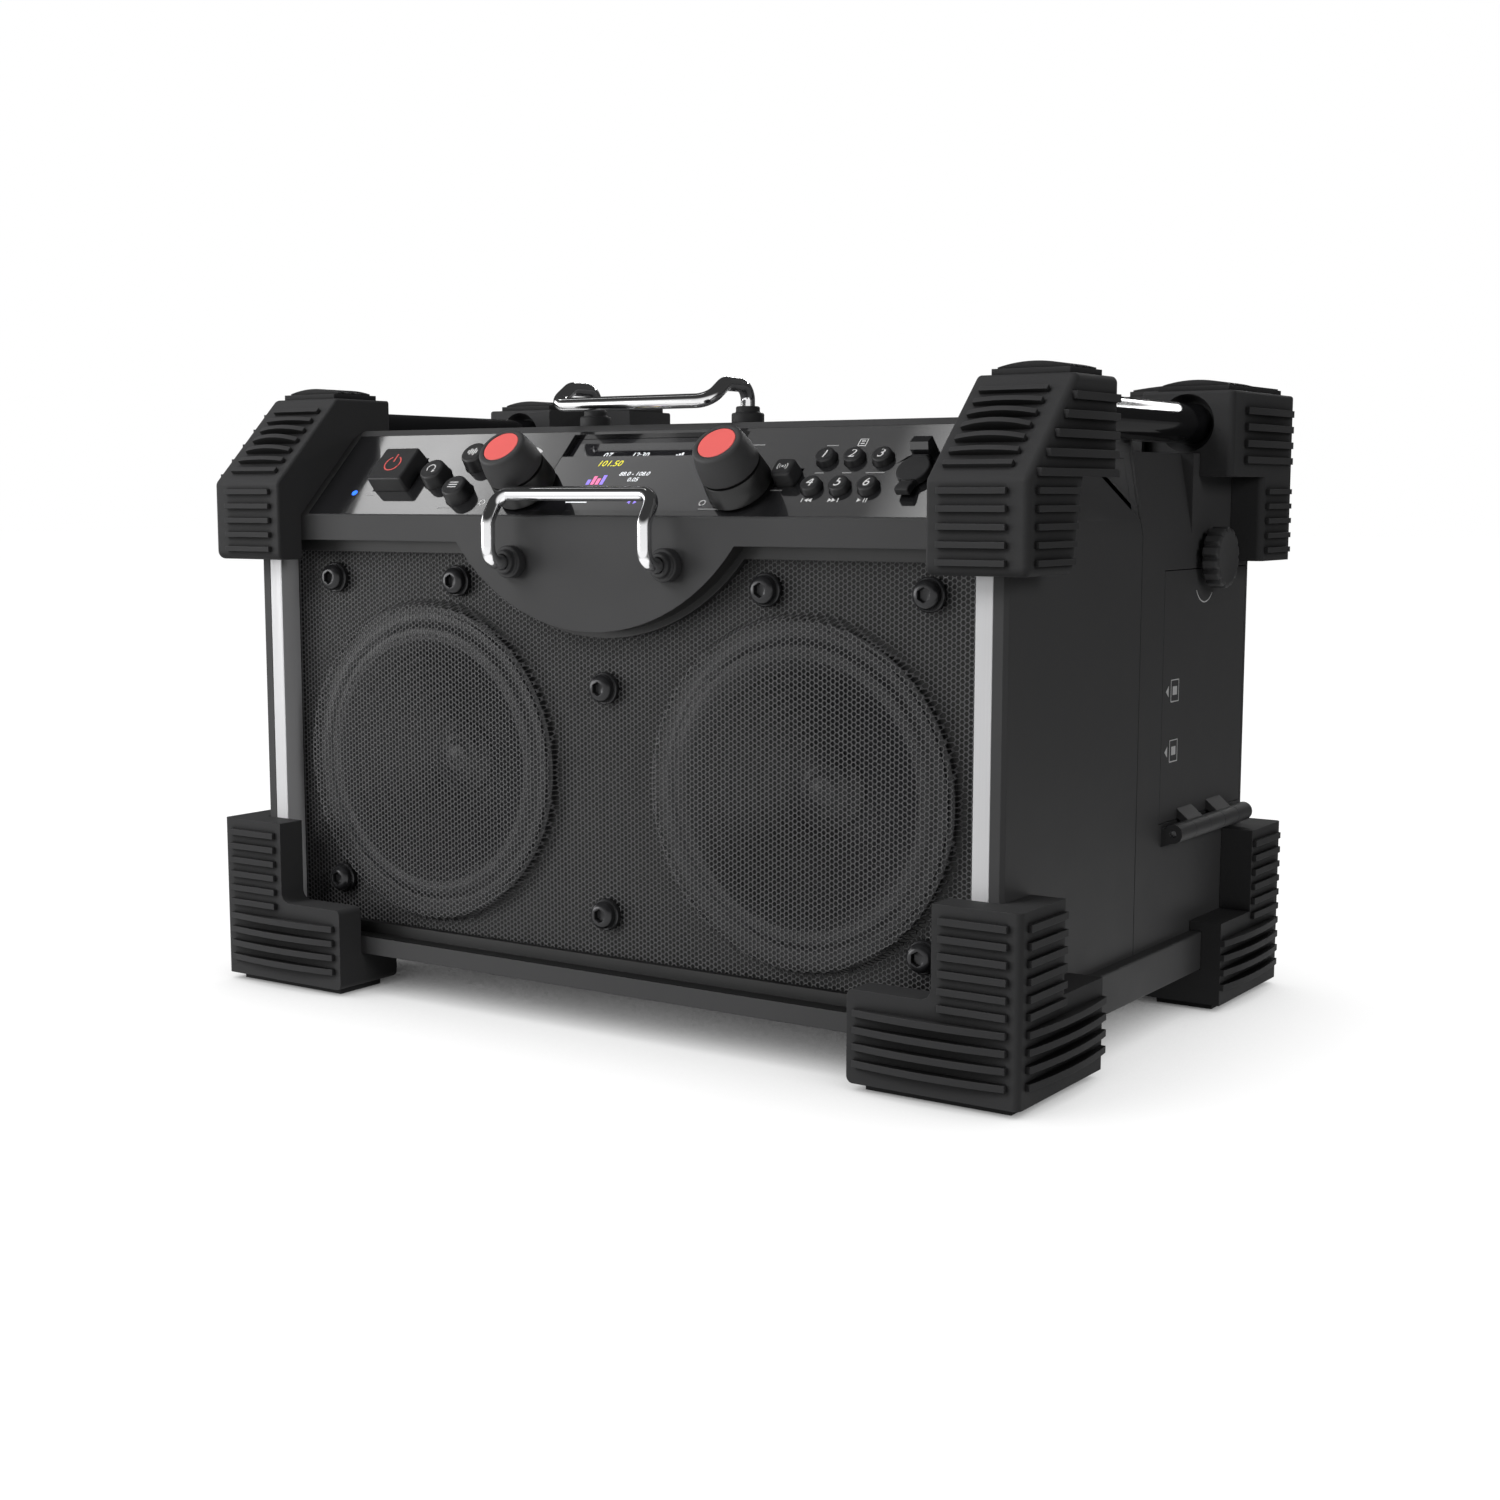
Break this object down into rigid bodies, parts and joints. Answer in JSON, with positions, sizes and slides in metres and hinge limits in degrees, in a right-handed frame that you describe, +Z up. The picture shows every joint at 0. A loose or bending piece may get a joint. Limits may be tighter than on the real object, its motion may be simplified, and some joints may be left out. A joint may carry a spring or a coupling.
{
  "type": "jobsite radio",
  "caption": "Rugged portable radio in a cage of ribbed rubber corner bumpers, with perforated speaker grille, sloping control panel, bent rod guards and a lockable media bay.",
  "frame": {"origin": "middle of the footprint, on the surface that the radio stands on", "axes": "+Z up, -Y towards the loudspeaker grille, +X to the right as seen from the front"},
  "size_m": [0.4592, 0.301, 0.3],
  "materials": {
    "housing": "fine-grained moulded plastic",
    "panel": "glossy black",
    "rubber": "matt black rubber",
    "grille": "black powder coat on pressed perforated sheet",
    "black_screws": "black oxide",
    "trim": "silver satin",
    "tubes": "gloss black tube",
    "chrome": "polished",
    "buttons": "matt black",
    "knob_discs": "red",
    "display": "tinted display window",
    "display_module": "black display panel",
    "cones": "dark paper cone with rubber surround",
    "steel": "plain steel",
    "circuit": "green circuit board",
    "sockets": "nickel plated shell",
    "basket": "black pressed steel"
  },
  "bodies": {
    "cabinet": {"amplifier_board": "circuit", "aux_socket": "sockets", "bottom_bumper_front_left": "rubber", "bottom_bumper_front_right": "rubber", "bottom_bumper_rear_left": "rubber", "bottom_bumper_rear_right": "rubber", "card_socket": "sockets", "control_board": "circuit", "control_panel": "panel", "corner_trim_left": "trim", "corner_trim_right": "trim", "display_lens": "display", "display_module": "display_module", "door_hinge_pin": "steel", "front_housing": "housing", "grille_screws": "black_screws", "guard_front": "chrome", "guard_grommets": "rubber", "guard_top": "chrome", "handle_tube_left": "tubes", "handle_tube_right": "tubes", "power_transformer": "steel", "rear_housing": "housing", "side_rail_left": "housing", "side_rail_right": "housing", "speaker_basket_left": "basket", "speaker_basket_right": "basket", "speaker_cone_left": "cones", "speaker_cone_right": "cones", "speaker_dust_cap_left": "cones", "speaker_dust_cap_right": "cones", "speaker_grille": "grille", "top_bumper_front_left": "rubber", "top_bumper_front_right": "rubber", "top_bumper_rear_left": "rubber", "top_bumper_rear_right": "rubber", "tuning_encoder": "steel", "usb_socket": "sockets", "volume_encoder": "steel"},
    "power_button": {"power_button": "buttons"},
    "source_button": {"source_button": "buttons"},
    "info_button": {"info_button": "buttons"},
    "tone_button": {"tone_button": "buttons"},
    "auto_button": {"auto_button": "buttons"},
    "preset_button_1": {"preset_button_1": "buttons"},
    "preset_button_2": {"preset_button_2": "buttons"},
    "preset_button_3": {"preset_button_3": "buttons"},
    "preset_button_4": {"preset_button_4": "buttons"},
    "preset_button_5": {"preset_button_5": "buttons"},
    "preset_button_6": {"preset_button_6": "buttons"},
    "volume_spindle": {"volume_shaft": "steel"},
    "volume_dial": {"volume_knob": "buttons", "volume_knob_cap": "knob_discs"},
    "tuning_spindle": {"tuning_shaft": "steel"},
    "tuning_dial": {"tuning_knob": "buttons", "tuning_knob_cap": "knob_discs"},
    "socket_cover": {"aux_cover": "rubber"},
    "door": {"compartment_door": "housing"},
    "door_lock": {"door_lock_knob": "buttons", "door_lock_cam": "steel"}
  },
  "joints": [
    {"name": "volume_push", "type": "slide", "parent": "cabinet", "child": "volume_spindle", "axis": [0, 0.7071, -0.7071], "range_m": [0, 0.001], "stiffness_N_per_m": 2500, "springref_m": -0.0005},
    {"name": "volume_turn", "type": "hinge", "parent": "volume_spindle", "child": "volume_dial", "pos_m": [-0.0445, -0.11748, 0.24887], "axis": [0, 0.7071, -0.7071], "continuous": true},
    {"name": "tuning_push", "type": "slide", "parent": "cabinet", "child": "tuning_spindle", "axis": [0, 0.7071, -0.7071], "range_m": [0, 0.001], "stiffness_N_per_m": 2500, "springref_m": -0.0005},
    {"name": "tuning_turn", "type": "hinge", "parent": "tuning_spindle", "child": "tuning_dial", "pos_m": [0.0745, -0.11748, 0.24887], "axis": [0, 0.7071, -0.7071], "continuous": true},
    {"name": "power_button_press", "type": "slide", "parent": "cabinet", "child": "power_button", "axis": [0, 0.7071, -0.7071], "range_m": [0, 0.001], "stiffness_N_per_m": 1500, "springref_m": -0.0004},
    {"name": "source_button_press", "type": "slide", "parent": "cabinet", "child": "source_button", "axis": [0, 0.7071, -0.7071], "range_m": [0, 0.001], "stiffness_N_per_m": 1500, "springref_m": -0.0004},
    {"name": "info_button_press", "type": "slide", "parent": "cabinet", "child": "info_button", "axis": [0, 0.7071, -0.7071], "range_m": [0, 0.001], "stiffness_N_per_m": 1500, "springref_m": -0.0004},
    {"name": "tone_button_press", "type": "slide", "parent": "cabinet", "child": "tone_button", "axis": [0, 0.7071, -0.7071], "range_m": [0, 0.001], "stiffness_N_per_m": 1500, "springref_m": -0.0004},
    {"name": "auto_button_press", "type": "slide", "parent": "cabinet", "child": "auto_button", "axis": [0, 0.7071, -0.7071], "range_m": [0, 0.001], "stiffness_N_per_m": 1500, "springref_m": -0.0004},
    {"name": "preset_button_1_press", "type": "slide", "parent": "cabinet", "child": "preset_button_1", "axis": [0, 0.7071, -0.7071], "range_m": [0, 0.001], "stiffness_N_per_m": 1500, "springref_m": -0.0004},
    {"name": "preset_button_2_press", "type": "slide", "parent": "cabinet", "child": "preset_button_2", "axis": [0, 0.7071, -0.7071], "range_m": [0, 0.001], "stiffness_N_per_m": 1500, "springref_m": -0.0004},
    {"name": "preset_button_3_press", "type": "slide", "parent": "cabinet", "child": "preset_button_3", "axis": [0, 0.7071, -0.7071], "range_m": [0, 0.001], "stiffness_N_per_m": 1500, "springref_m": -0.0004},
    {"name": "preset_button_4_press", "type": "slide", "parent": "cabinet", "child": "preset_button_4", "axis": [0, 0.7071, -0.7071], "range_m": [0, 0.001], "stiffness_N_per_m": 1500, "springref_m": -0.0004},
    {"name": "preset_button_5_press", "type": "slide", "parent": "cabinet", "child": "preset_button_5", "axis": [0, 0.7071, -0.7071], "range_m": [0, 0.001], "stiffness_N_per_m": 1500, "springref_m": -0.0004},
    {"name": "preset_button_6_press", "type": "slide", "parent": "cabinet", "child": "preset_button_6", "axis": [0, 0.7071, -0.7071], "range_m": [0, 0.001], "stiffness_N_per_m": 1500, "springref_m": -0.0004},
    {"name": "socket_cover_lift", "type": "hinge", "parent": "cabinet", "child": "socket_cover", "pos_m": [0.157, -0.10849, 0.26111], "axis": [-1, 0, 0], "range_deg": [0, 85]},
    {"name": "compartment_door_open", "type": "hinge", "parent": "cabinet", "child": "door", "pos_m": [0.215, 0.07495, 0.091], "axis": [0, 1, 0], "range_deg": [0, 110]},
    {"name": "door_lock_turn", "type": "hinge", "parent": "door", "child": "door_lock", "pos_m": [0.215, 0.07695, 0.2172], "axis": [1, 0, 0], "range_deg": [0, 90]}
  ]
}
